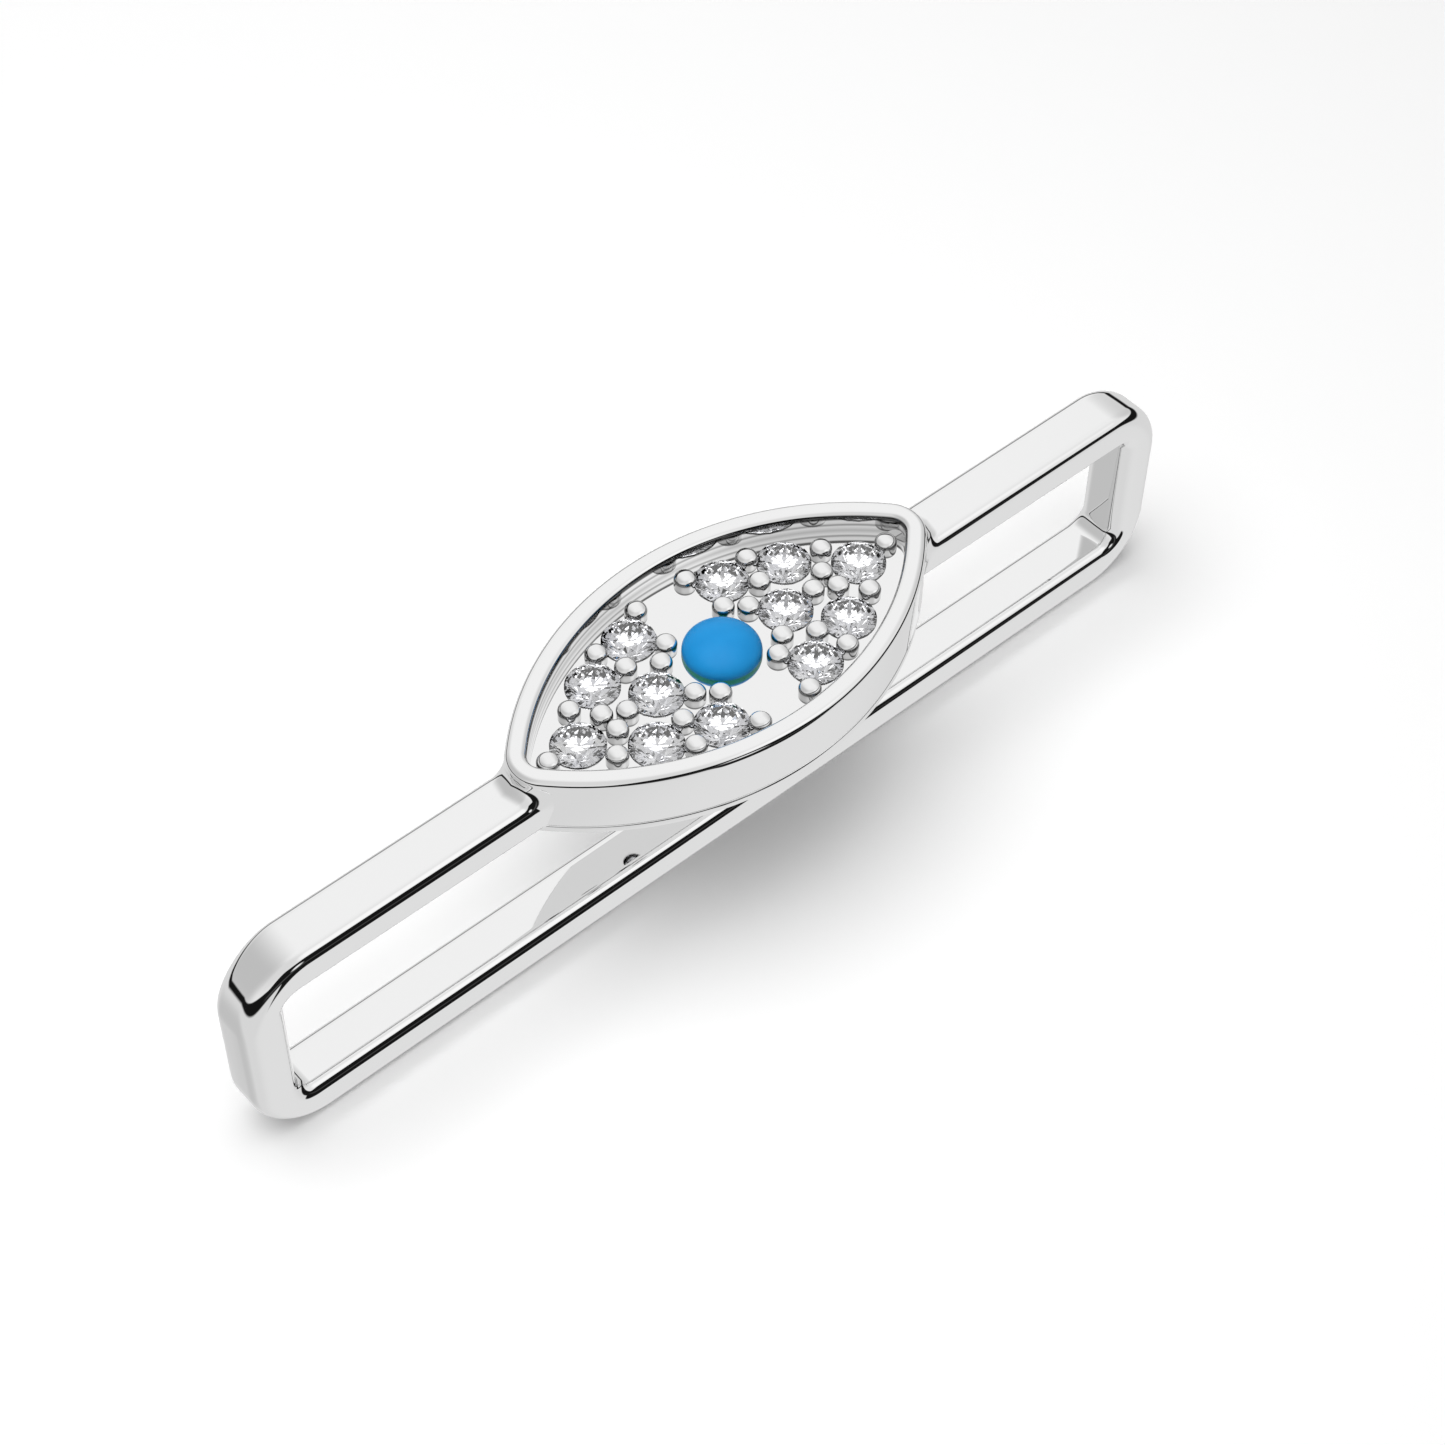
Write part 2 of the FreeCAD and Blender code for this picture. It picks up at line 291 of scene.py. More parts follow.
def paint_dark_reflections(finish, bands, low_z, high_z, inside_only=False):
    """Darkens a metal in bands of height, to stand in for dark reflections. bands are pairs of
    height in mm and shade. With inside_only, only surfaces that face the middle of the object
    are darkened."""
    nodes, links = finish.node_tree.nodes, finish.node_tree.links
    shader = nodes["Principled BSDF"]
    place = nodes.new("ShaderNodeTexCoord")
    split = nodes.new("ShaderNodeSeparateXYZ")
    links.new(place.outputs["Object"], split.inputs[0])
    height = nodes.new("ShaderNodeMapRange")
    height.inputs["From Min"].default_value = low_z * MM
    height.inputs["From Max"].default_value = high_z * MM
    links.new(split.outputs["Z"], height.inputs["Value"])
    shade = nodes.new("ShaderNodeValToRGB")
    stops = shade.color_ramp.elements
    for number, (z, grey) in enumerate(bands):
        spot = (z - low_z) / (high_z - low_z)
        if number < 2:   # a new ramp has two stops already
            stops[number].position = spot
        else:
            stops.new(spot)
        stops[number].color = (grey, grey, grey, 1)
    links.new(height.outputs[0], shade.inputs[0])
    mix = nodes.new("ShaderNodeMix")
    mix.data_type = "RGBA"
    mix.inputs[MIX_FIRST].default_value = shader.inputs["Base Color"].default_value
    mix.inputs[MIX_SHARE].default_value = 1.0
    links.new(shade.outputs[0], mix.inputs[MIX_SECOND])
    if inside_only:
        links.new(inward_share(nodes, links, place, split), mix.inputs[MIX_SHARE])
    links.new(mix.outputs[MIX_RESULT], shader.inputs["Base Color"])


# the painted reflection bands on a prong end at this height
PRONG_PAINT_TOP = 0.3   # above the floor: from here up a prong has its own colour again
PRONG_BANDS = ((0, 0.8), (0.09, 0.72), (0.125, 0.2), (0.17, 0.3), (0.205, 0.94),
               (PRONG_PAINT_TOP, 0.94))                                  # mm above the floor, shade
WALL_BANDS = ((0.42, 0.9), (0.36, 0.35), (0.3, 0.85), (0.22, 0.9), (0.17, 0.1), (0.08, 0.1),
              (0.05, 0.95))                                          # mm below the rim, shade
# painted reflections: dark bands by height on the prongs, and on the inside of the wall down to
# the floor
paint_dark_reflections(PRONG_METAL, [(FLOOR + up, grey) for up, grey in PRONG_BANDS], FLOOR, FLOOR + PRONG_PAINT_TOP)
paint_dark_reflections(HEAD_METAL, [(FLOOR, 0.6)] + [(RIM_TOP - down, grey) for down, grey in WALL_BANDS],
      FLOOR, RIM_TOP, inside_only=True)
print("dark bands painted on", PRONG_METAL.name, "and", HEAD_METAL.name)


# %% [markdown]
# ## The strip loop
#
# The real loop is a strip, 1.4 mm wide, bent round into a rectangle with generous outer corners
# and tight inner ones. All its long edges are softened, those of the upright legs a little more,
# where a polisher holds it, and the top outer corners most of all. A bevel gives one radius
# everywhere, so here the rounding is grown instead: the outer and the inner outline are extruded
# in small steps that roll from the side of the strip onto its front face, by a radius that
# depends on which way the edge looks. The flat face is filled in between the two rolled edges,
# and the half is mirrored.

# %% Draw an outline and roll its edge over
LEG, BAR = 1.15, 1.1                             # thickness of the legs and of the bars
CORNER_OUT, CORNER_IN = 1.8, 0.4                 # radius of the outer and inner corners
SOFT, SOFT_LEG, SOFT_CORNER = 0.3, 0.42, 0.08    # edge radius on bars, on legs, and its extra
ROLL_STEPS, CORNER_STEPS = 10, 28
half_length, half_width, strip_top = strip_high


def nearest_core(place, low, high):
    """The nearest place inside a rectangle: rounding turns about it."""
    return Vector((max(low[0], min(high[0], place.x)), 0, max(low[1], min(high[1], place.z))))


def rolled_outline(bench, low_x, low_z, high_x, high_z, radius, into_metal):
    """A rounded rectangle of edges in the middle plane, grown to the strip's side and rolled onto
    its front face. into_metal is -1 where the metal lies inside the outline and 1 where it lies
    outside. Returns the last ring of edges."""
    corners = bmesh.ops.create_grid(bench, x_segments=1, y_segments=1, size=0.5)["verts"]
    middle = Vector(((low_x + high_x) / 2, 0, (low_z + high_z) / 2))
    for corner in corners:
        corner.co = middle + Vector((corner.co.x * (high_x - low_x), 0,
                                     corner.co.y * (high_z - low_z)))
    bmesh.ops.bevel(bench, geom=corners, offset=radius, offset_type="OFFSET",
                    segments=CORNER_STEPS, profile=0.5, affect="VERTICES", material=-1)
    drawn = [f for f in bench.faces if all(abs(v.co.y) < TINY for v in f.verts)]
    outline = list(drawn[0].edges)
    bmesh.ops.delete(bench, geom=drawn, context="FACES_ONLY")
    for step in range(ROLL_STEPS + 1):
        turn = step / ROLL_STEPS * math.pi / 2
        fresh, outline = grow(bench, outline)
        places = carried_on(fresh, places) if step else {v: v.co.copy() for v in fresh}
        for v, place in places.items():
            way = (place - nearest_core(place, (low_x + radius, low_z + radius),
                                        (high_x - radius, high_z - radius))).normalized()
            soft = SOFT + (SOFT_LEG - SOFT) * way.x ** 2
            if into_metal < 0 and way.z > 0:
                soft += SOFT_CORNER * (2 * way.x * way.z) ** 2
            v.co = place + way * into_metal * soft * (1 - math.cos(turn))
            v.co.y = -half_width + soft * (1 - math.sin(turn))
    return outline


# %% Fill the flat front between the two outlines and mirror the half
bench = bmesh.new()
outer_ring = rolled_outline(bench, -half_length, 0, half_length, strip_top, CORNER_OUT, -1)
inner_ring = rolled_outline(bench, -half_length + LEG, BAR, half_length - LEG, strip_top - BAR,
                            CORNER_IN, 1)
bmesh.ops.triangle_fill(bench, use_beauty=True, use_dissolve=False, edges=outer_ring + inner_ring)
bmesh.ops.mirror(bench, geom=bench.verts[:] + bench.edges[:] + bench.faces[:], axis="Y",
                 merge_dist=SAME)
bmesh.ops.remove_doubles(bench, verts=bench.verts, dist=SAME)
bmesh.ops.recalc_face_normals(bench, faces=bench.faces)
print("strip ring:", len(bench.faces), "faces,",
      sum(1 for e in bench.edges if len(e.link_faces) != 2), "open edges")


# %% [markdown]
# The head interrupts the top bar. Each arm is cut short of the head, and its open end is grown
# towards the wall in small steps. The steps follow a hollow curve, first along the arm and then up
# the wall: that is the fillet of solder that joins the two. Underneath there is almost none,
# because the underside was filed flush.

# %% Cut the top bar short of the head
SOLDER = 0.42         # radius of the fillet
SOLDER_LEAST = 0.08   # the share of it that is left underneath
SOLDER_STEPS = 12
cut_x = TIP_X + TIP_OUTSIDE + SOLDER
for side in (-1, 1):
    bmesh.ops.bisect_plane(bench, geom=bench.verts[:] + bench.edges[:] + bench.faces[:],
                           dist=TINY, plane_co=(side * cut_x, 0, 0), plane_no=(1, 0, 0))
CLEAR = 1e-3          # faces that only touch the cut stay
middle_faces = [f for f in bench.faces if f.calc_center_median().z > strip_top / 2
                and abs(f.calc_center_median().x) < cut_x - CLEAR]
bmesh.ops.delete(bench, geom=middle_faces, context="FACES")
print("cut away between the arms:", len(middle_faces), "faces")

# %% Grow the solder fillets
arm_middle = strip_top - BAR / 2
SINK = 0.12           # how deep the closed end is sunk into the wall
JUST_OFF = 0.999      # the first ring is this far along, to keep it off the fillet's own start


def on_the_wall(y, z, side, along):
    """Where the solder surface is, for one point of the arm's outline: along runs from 0 on the
    arm to 1 on the wall."""
    flat_y, flat_z = half_width - SOFT, BAR / 2 - SOFT
    from_middle = Vector((0, y, z - arm_middle))
    core = Vector((0, max(-flat_y, min(flat_y, y)), max(-flat_z, min(flat_z, z - arm_middle))))
    outward = (from_middle - core).normalized()
    reach = math.sqrt(TIP_OUTSIDE ** 2 - y ** 2)
    foot = Vector((side * (TIP_X + reach), y, z))
    off_wall = Vector((side * reach, y, 0)) / TIP_OUTSIDE
    up_wall = (outward - off_wall * outward.dot(off_wall)).normalized()
    height = (z - (strip_top - BAR)) / BAR
    upper_part = min(1, max(0, height * 1.6 - 0.25))   # 0 underneath, 1 from three quarters up
    size = SOLDER * (SOLDER_LEAST + (1 - SOLDER_LEAST) * upper_part)
    along_arm = Vector((side, 0, 0)) * size
    if along == 0:
        return Vector((side * cut_x, y, z)).lerp(foot + along_arm, JUST_OFF)
    turn = along * math.pi / 2
    return foot + along_arm * (1 - math.sin(turn)) + up_wall * size * (1 - math.cos(turn))


for side in (-1, 1):
    rim = [e for e in bench.edges if len(e.link_faces) == 1 and e.verts[0].co.x * side > 0]
    for step in range(SOLDER_STEPS + 2):
        fresh, rim = grow(bench, rim)
        places = carried_on(fresh, places) if step else {v: (v.co.y, v.co.z) for v in fresh}
        for v, (y, z) in places.items():
            if step <= SOLDER_STEPS:
                v.co = on_the_wall(y, z, side, step / SOLDER_STEPS)
            else:
                v.co.x -= side * SINK
    bmesh.ops.edgeloop_fill(bench, edges=rim)

band = finish_piece(bench, "strip_loop", ["band_loop"], STRIP_METAL)
print("strip loop:", len(band.data.polygons), "faces")


# %% [markdown]
# ## Spinning a profile round the eye outline
#
# The head's outline is made of four arcs: two long ones and two small ones at the tips. So a
# profile drawn at one tip can be spun round the tip, then round the centre of the long arc, then
# round the other tip, and back. The result is exact, closed, and as smooth as the number of steps.

# %% Spin a profile round the eye
TIP_STEPS, ARC_STEPS = 20, 110


def spin_eye(bench, profile):
    """Carries a profile, drawn in the XZ plane at the right-hand tip, once round the outline."""
    long_turn = math.pi - 2 * TIP_TURN
    route = [((TIP_X, 0, 0), TIP_TURN, TIP_STEPS // 2), ((0, -ARC_Y, 0), long_turn, ARC_STEPS),
             ((-TIP_X, 0, 0), 2 * TIP_TURN, TIP_STEPS), ((0, ARC_Y, 0), long_turn, ARC_STEPS),
             ((TIP_X, 0, 0), TIP_TURN, TIP_STEPS // 2)]
    moving = profile + list(dict.fromkeys(v for e in profile for v in e.verts))
    for centre, turn, steps in route:
        spun = bmesh.ops.spin(bench, geom=moving, cent=centre, axis=(0, 0, 1), dvec=(0, 0, 0),
                              angle=turn, steps=steps, use_merge=False, use_duplicate=False)
        moving = spun["geom_last"]
    bmesh.ops.remove_doubles(bench, verts=bench.verts, dist=SAME)


def chain(bench, points, closed):
    """A chain of edges through points given as (distance out from the inside face, height)."""
    start = TIP_X + TIP_OUTSIDE - WALL
    verts = [bench.verts.new((start + out, 0, z)) for out, z in points]
    pairs = list(zip(verts, verts[1:])) + ([(verts[-1], verts[0])] if closed else [])
    return [bench.edges.new(pair) for pair in pairs]


def quarter(out, z, radius, first, last, steps):
    """Points on a quarter circle, from the angle first to the angle last, in degrees."""
    turns = [math.radians(first + (last - first) * i / steps) for i in range(steps + 1)]
    return [(out + radius * math.cos(t), z + radius * math.sin(t)) for t in turns]


print("once round the eye takes", 2 * (TIP_STEPS + ARC_STEPS), "steps")


# %% [markdown]
# ## The upright wall
#
# The wall stands round the stones. Its rim is flat on top, with a well rounded outer shoulder, a
# small lip on the inside and a barely softened foot where it meets the plate below it. We draw
# that section once and spin it.

# %% Make the wall
SHOULDER, LIP, FOOT = 0.17, 0.15, 0.05
bench = bmesh.new()
section = [(0, SEAM)]
section += quarter(WALL - FOOT, SEAM + FOOT, FOOT, -90, 0, 4)
section += quarter(WALL - SHOULDER, RIM_TOP - SHOULDER, SHOULDER, 0, 90, 12)
section += quarter(LIP, RIM_TOP - LIP, LIP, 90, 180, 6)
spin_eye(bench, chain(bench, section, closed=True))
wall = finish_piece(bench, "head_wall", ["bezel_wall"], HEAD_METAL)
print("wall:", len(wall.data.polygons), "faces")


# %% [markdown]
# ## The stone places
#
# The frame knows where each stone and prong sits. A stone's seat is a cone cut into the floor, and
# below it a round hole lets light in from behind and a brush in for cleaning.

# %% Read the places of stones and prongs
def centre_mm(node):
    """The middle of a node's box, seen from above."""
    low, high = box_mm(node)
    return Vector(((low.x + high.x) / 2, (low.y + high.y) / 2, 0))


STONE_NODES = sorted(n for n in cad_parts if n.startswith("stone_"))
PRONG_NODES = sorted(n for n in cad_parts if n.startswith("prong_"))
stone_places = [centre_mm(n) for n in STONE_NODES]
print(len(STONE_NODES), "stones and", len(PRONG_NODES), "prongs")

# %% Read the size of a stone and work out its seat
stone_low, stone_high = box_mm("stone_01")
STONE_R = (stone_high.x - stone_low.x) / 2
CROWN, GIRDLE_BAND = 0.2, 0.03   # heights of the part above the girdle and of the girdle itself
girdle_z = stone_high.z - CROWN - GIRDLE_BAND
culet_z = stone_low.z            # the culet is the stone's lowest point
PAVILION = girdle_z - culet_z
PLAY = 0.006                     # gap between a stone and its seat
LIGHT_HOLE_R = 0.25


def seat_radius(z):
    """Radius of the conical seat at a height."""
    return PLAY + STONE_R * (z - (culet_z - PLAY)) / (PAVILION + PLAY)


# where the cone has narrowed to the light hole
seat_bottom = culet_z - PLAY + (LIGHT_HOLE_R - PLAY) * (PAVILION + PLAY) / STONE_R
print("a seat is", round(2 * seat_radius(FLOOR), 3), "mm across at the floor and narrows to",
      round(2 * seat_radius(seat_bottom), 3), "mm")


# %% [markdown]
# ## The floor plate
#
# The plate carries the wall on a thin flange, which shows as a bright line under the wall. Inside,
# its top is the mirror-bright floor round the stones. The edge section is spun round the eye,
# which leaves one outline open above and one below. Filling between that outline and the rings of
# the seats gives a flat floor with real holes, and each ring is then drawn down into its seat.

# %% Spin the plate's edge and fill its two flats
DISC_PLAY = 0.002                # gap between the blue disc and its bed
SEAT_STEPS, BED_STEPS = 48, 96   # how many edges each round ring has
MIDDLE = Vector((0, 0, 0))


def ring_at(bench, place, radius, z, steps=SEAT_STEPS):
    """A ring of edges, with no face, at a place and a height."""
    made = bmesh.ops.create_circle(bench, cap_ends=False, segments=steps, radius=radius)
    bmesh.ops.translate(bench, verts=made["verts"], vec=(place.x, place.y, z))
    ring = set(made["verts"])
    return [e for e in bench.edges if e.verts[0] in ring and e.verts[1] in ring]


def open_outline(bench, z):
    """The edges at a height that have a face on one side only."""
    return [e for e in bench.edges if len(e.link_faces) == 1
            and all(abs(v.co.z - z) < SAME for v in e.verts)]


def fill_flat(bench, z, rings):
    """Fills the flat between the open outline at a height and the rings inside it."""
    bmesh.ops.triangle_fill(bench, use_beauty=True, use_dissolve=False,
                            edges=open_outline(bench, z) + [e for ring in rings for e in ring])


bench = bmesh.new()
section = [(0, FLOOR), (0, SEAM)]
section += quarter(WALL - FOOT, SEAM - FOOT, FOOT, 90, 0, 4)
section += quarter(WALL - FOOT, HEAD_BOTTOM + FOOT, FOOT, 0, -90, 4)
spin_eye(bench, chain(bench, section, closed=False))
bed_r = disc_high.x + DISC_PLAY
top_rings = [ring_at(bench, p, seat_radius(FLOOR), FLOOR) for p in stone_places]
bed_ring = ring_at(bench, MIDDLE, bed_r, FLOOR, BED_STEPS)
low_rings = [ring_at(bench, p, LIGHT_HOLE_R, HEAD_BOTTOM) for p in stone_places]
fill_flat(bench, FLOOR, [bed_ring] + top_rings)
fill_flat(bench, HEAD_BOTTOM, low_rings)
print("plate with open seats:", len(bench.faces), "faces")


# %% Draw the seats and the disc's bed down
def draw_down(bench, ring, place, radius, z):
    """Extrudes a ring of edges to a new height and radius, and returns the new ring."""
    fresh, ring = grow(bench, ring)
    for v in fresh:
        arm = (v.co - place).to_2d().normalized() * radius
        v.co = (place.x + arm.x, place.y + arm.y, z)
    return ring


for place, ring in zip(stone_places, top_rings):
    seat = draw_down(bench, ring, place, LIGHT_HOLE_R, seat_bottom)
    draw_down(bench, seat, place, LIGHT_HOLE_R, HEAD_BOTTOM)
bed = draw_down(bench, bed_ring, MIDDLE, bed_r, disc_low.z)
bmesh.ops.edgeloop_fill(bench, edges=bed)
plate = finish_piece(bench, "tray_floor", ["floor_plate"], FLOOR_METAL)
print("plate:", len(plate.data.polygons), "faces")


# %% [markdown]
# ## The blue disc
#
# An opaque blue disc sits in the middle, let a little into the floor. It has a low upright side
# and a gently domed top, like a small cabochon. It is turned on a lathe: half a section, spun
# once round. Its blue is even on top and turns to a deep sea green low on the side, so the
# finish reads the height on Object coordinates. That green is painted light, not a colour of the
# disc: it stands in for the way light falls on the low side.

# %% Blue enamel finish
GREEN_BELOW, BLUE_ABOVE = 0.055, 0.11   # heights above the floor


def blue_enamel():
    finish, nodes, links, shader = new_finish("blue enamel")
    cloud = noise_on(nodes, links, scale=1400, grain=5)
    tint = nodes.new("ShaderNodeValToRGB")
    deeper, lighter = tint.color_ramp.elements
    deeper.position, deeper.color = 0.3, (0.011, 0.272, 0.655, 1)
    lighter.position, lighter.color = 0.75, (0.015, 0.308, 0.715, 1)
    links.new(cloud.outputs[0], tint.inputs[0])
    height = nodes.new("ShaderNodeSeparateXYZ")
    links.new(nodes["Texture Coordinate"].outputs["Object"], height.inputs[0])
    low_side = nodes.new("ShaderNodeMapRange")
    low_side.interpolation_type = "SMOOTHSTEP"
    low_side.inputs["From Min"].default_value = (FLOOR + BLUE_ABOVE) * MM
    low_side.inputs["From Max"].default_value = (FLOOR + GREEN_BELOW) * MM
    links.new(height.outputs["Z"], low_side.inputs["Value"])
    # painted light: the green low on the side stands in for how light falls there, not a colour of
    # the disc
    painted_green_light = nodes.new("ShaderNodeMix")
    painted_green_light.data_type = "RGBA"
    painted_green_light.inputs[MIX_SECOND].default_value = (0.020, 0.34, 0.25, 1)
    links.new(low_side.outputs[0], painted_green_light.inputs[MIX_SHARE])
    links.new(tint.outputs[0], painted_green_light.inputs[MIX_FIRST])
    links.new(painted_green_light.outputs[MIX_RESULT], shader.inputs["Base Color"])
    grain = noise_on(nodes, links, scale=9000, grain=4)
    links.new(spread(nodes, links, grain, 0.28, 0.42), shader.inputs["Roughness"])
    skin = bump_from(nodes, links, grain, strength=0.08, depth=4e-6)
    links.new(skin.outputs[0], shader.inputs["Normal"])
    shader.inputs["IOR"].default_value = 1.5
    shader.inputs["Specular IOR Level"].default_value = 0.2
    return finish


BLUE = blue_enamel()
print("finish:", BLUE.name)


# %% Turn the disc on the lathe
def lathe(bench, points, place, steps):
    """Spins a chain of (radius, height) points once round an upright axis at a place."""
    verts = [bench.verts.new((place.x + r, place.y, z)) for r, z in points]
    edges = [bench.edges.new(pair) for pair in zip(verts, verts[1:])]
    bmesh.ops.spin(bench, geom=verts + edges, cent=(place.x, place.y, 0), axis=(0, 0, 1),
                   dvec=(0, 0, 0), angle=2 * math.pi, steps=steps, use_merge=True,
                   use_duplicate=False)
    bmesh.ops.remove_doubles(bench, verts=bench.verts, dist=SAME_FINE)


DISC_SIDE = 0.08                   # height of the upright side above the floor
DISC_STEPS, DOME_STEPS = 128, 32   # once round, and from the side to the top
disc_r = disc_high.x
dome_foot = FLOOR + DISC_SIDE
bench = bmesh.new()
section = [(0, disc_low.z), (disc_r, disc_low.z)]
section += [(disc_r * math.cos(t), dome_foot + (disc_high.z - dome_foot) * math.sin(t))
            for t in [math.radians(90 * i / DOME_STEPS) for i in range(DOME_STEPS + 1)]]
lathe(bench, section, MIDDLE, DISC_STEPS)
disc = finish_piece(bench, "blue_disc", ["centre_disc"], BLUE, merge=SAME_FINE)
print("disc:", len(disc.data.polygons), "faces")


# %% [markdown]
# ## The prongs
#
# Each prong is a short post with a low dome, pushed over the edge of the stones beside it. A
# beading tool leaves a round shoulder and a flatter crown. So the section goes up the post, round
# the shoulder on a small arc, and over the crown on a large one. It is a lathe shape again.

# %% Make thirty-two prongs
POST = 0.11                     # height of the post's straight side
CROWN_LEAN = math.radians(15)   # how far the crown has turned when it meets the shoulder
PRONG_STEPS, SHOULDER_STEPS, CROWN_STEPS = 40, 10, 6
post_top = FLOOR + POST
shoulder_turn = math.pi / 2 - CROWN_LEAN
lean = math.tan(CROWN_LEAN / 2)
for node in PRONG_NODES:
    low, high = box_mm(node)
    post_r = (high.x - low.x) / 2
    rise = high.z - post_top
    # the shoulder radius that lets both arcs meet without a kink at this width and height
    shoulder = (rise - post_r * lean) / (1 - lean)
    crown = (post_r - shoulder) / math.sin(CROWN_LEAN) + shoulder
    section = [(0, FLOOR), (post_r, FLOOR)]
    section += [(post_r - shoulder + shoulder * math.cos(t), post_top + shoulder * math.sin(t))
                for t in [shoulder_turn * i / SHOULDER_STEPS for i in range(SHOULDER_STEPS + 1)]]
    section += [(crown * math.sin(t), high.z - crown * (1 - math.cos(t)))
                for t in [CROWN_LEAN * (1 - i / CROWN_STEPS) for i in range(1, CROWN_STEPS + 1)]]
    bench = bmesh.new()
    lathe(bench, section, centre_mm(node), PRONG_STEPS)
    prong = finish_piece(bench, node.replace("prong", "bead_prong"), [node],
                         PRONG_METAL, merge=SAME_FINE)
print("prongs:", len(PRONG_NODES), "each with", len(prong.data.polygons), "faces, radius",
      round(post_r, 3))


# %% [markdown]
# ## The clear stones
#
# A round brilliant is ground from a round blank, one flat facet at a time, and that is the way to
# model it too: each facet is a plane that slices a little off, and the cut is closed with one flat
# face. The crown has 8 kite facets, 8 star facets and 16 upper halves round the table; below the
# girdle come 8 mains and 16 lower halves. The angles are the usual ones, near 35 degrees above and
# 40 below, so light that enters the table is thrown back out of it.

# %% Clear stone finish
def clear_stone():
    finish, nodes, links, shader = new_finish("clear cut stone")
    shader.inputs["Transmission Weight"].default_value = 1.0
    shader.inputs["IOR"].default_value = 2.42
    tint = nodes.new("ShaderNodeValToRGB")
    cooler, clearer = tint.color_ramp.elements
    cooler.position, cooler.color = 0.35, (0.93, 0.94, 1.0, 1)
    clearer.position, clearer.color = 0.65, (1.0, 1.0, 1.0, 1)
    cloud = noise_on(nodes, links, scale=2500, grain=2)
    links.new(cloud.outputs[0], tint.inputs[0])
    links.new(tint.outputs[0], shader.inputs["Base Color"])
    worn = noise_on(nodes, links, scale=12000, grain=3)
    links.new(spread(nodes, links, worn, 0.0, 0.006), shader.inputs["Roughness"])
    return finish


STONE_FINISH = clear_stone()
print("finish:", STONE_FINISH.name)


# %% Grind a ring of facets
MAINS = 8            # facets in a ring
STEP = 360 / MAINS   # degrees from one to the next


def grind(bench, offset, slope, reach, height, above):
    """Cuts a ring of flat facets. Each plane passes through the point at a distance from the axis
    (reach) and a height, and slopes up or down towards the axis."""
    for number in range(MAINS):
        turn = math.radians(offset + 360 * number / MAINS)
        out = Vector((math.cos(turn), math.sin(turn), 0))
        upward = Vector((0, 0, math.cos(slope) if above else -math.cos(slope)))
        cut = bmesh.ops.bisect_plane(bench, geom=bench.verts[:] + bench.edges[:] + bench.faces[:],
                                     dist=TINY, plane_co=out * reach + Vector((0, 0, height)),
                                     plane_no=out * math.sin(slope) + upward, clear_outer=True)
        edge_of_cut = [g for g in cut["geom_cut"] if isinstance(g, bmesh.types.BMEdge)
                       and len(g.link_faces) == 1]
        if len(edge_of_cut) > 2:
            bmesh.ops.edgeloop_fill(bench, edges=edge_of_cut)


def grind_halves(bench, slope, height, above):
    """The sixteen half facets, two beside each of the eight mains."""
    reach = STONE_R * math.cos(math.radians(STEP / 4))
    grind(bench, STEP / 4, slope, reach, height, above)
    grind(bench, -STEP / 4, slope, reach, height, above)


# %% Grind one stone
TABLE_R = 0.57 * STONE_R   # a usual share for the flat top
BLANK_STEPS = 96           # edges round the girdle
KITE_SLOPE = math.atan2(CROWN, STONE_R - TABLE_R)
MAIN_SLOPE = math.atan2(PAVILION, STONE_R)
STAR_SLOPE, UPPER_SLOPE, LOWER_SLOPE = (math.radians(angle) for angle in (22, 42.1, 41.4))
table_z = GIRDLE_BAND + CROWN

stone_bench = bmesh.new()
bmesh.ops.create_cone(stone_bench, cap_ends=True, cap_tris=False, segments=BLANK_STEPS,
                      radius1=STONE_R, radius2=STONE_R, depth=PAVILION + table_z)
bmesh.ops.translate(stone_bench, verts=stone_bench.verts, vec=(0, 0, (table_z - PAVILION) / 2))
grind(stone_bench, 0, KITE_SLOPE, TABLE_R, table_z, True)
grind(stone_bench, STEP / 2, STAR_SLOPE, TABLE_R * math.cos(math.radians(STEP / 2)), table_z, True)
grind_halves(stone_bench, UPPER_SLOPE, GIRDLE_BAND, True)
grind(stone_bench, 0, MAIN_SLOPE, STONE_R, 0, False)
grind_halves(stone_bench, LOWER_SLOPE, 0, False)
bmesh.ops.remove_doubles(stone_bench, verts=stone_bench.verts, dist=SAME_FINE)
print("one stone:", len(stone_bench.faces), "faces, of them facets:",
      sum(1 for f in stone_bench.faces if abs(f.normal.z) > 0.1))


# %% Set the twelve stones
for node, place in zip(STONE_NODES, stone_places):
    bench = stone_bench.copy()
    bmesh.ops.translate(bench, verts=bench.verts, vec=(place.x, place.y, girdle_z))
    finish_piece(bench, node.replace("stone", "clear_stone"), [node],
                 STONE_FINISH, smooth=False, merge=TINY)
stone_bench.free()
print("stones set:", len(STONE_NODES))


# %% [markdown]
# ## Floor and light
#
# Bright metal looks like whatever surrounds it, so it is given a large pale dome to reflect. A
# dark band low down, tallest straight in front and reaching lowest a little to the right of that,
# gives the rounded edges the crisp dark line that makes polished metal read as metal. The floor is
# plain and pale, and gives off a little light of its own. It takes the shadows but is left out of
# the reflections, which see the dome's own pale lower half.

# %% Lay the floor
FLOOR_REACH = 1.5    # metres from the middle to each side
FLOOR_GLOW = 0.16

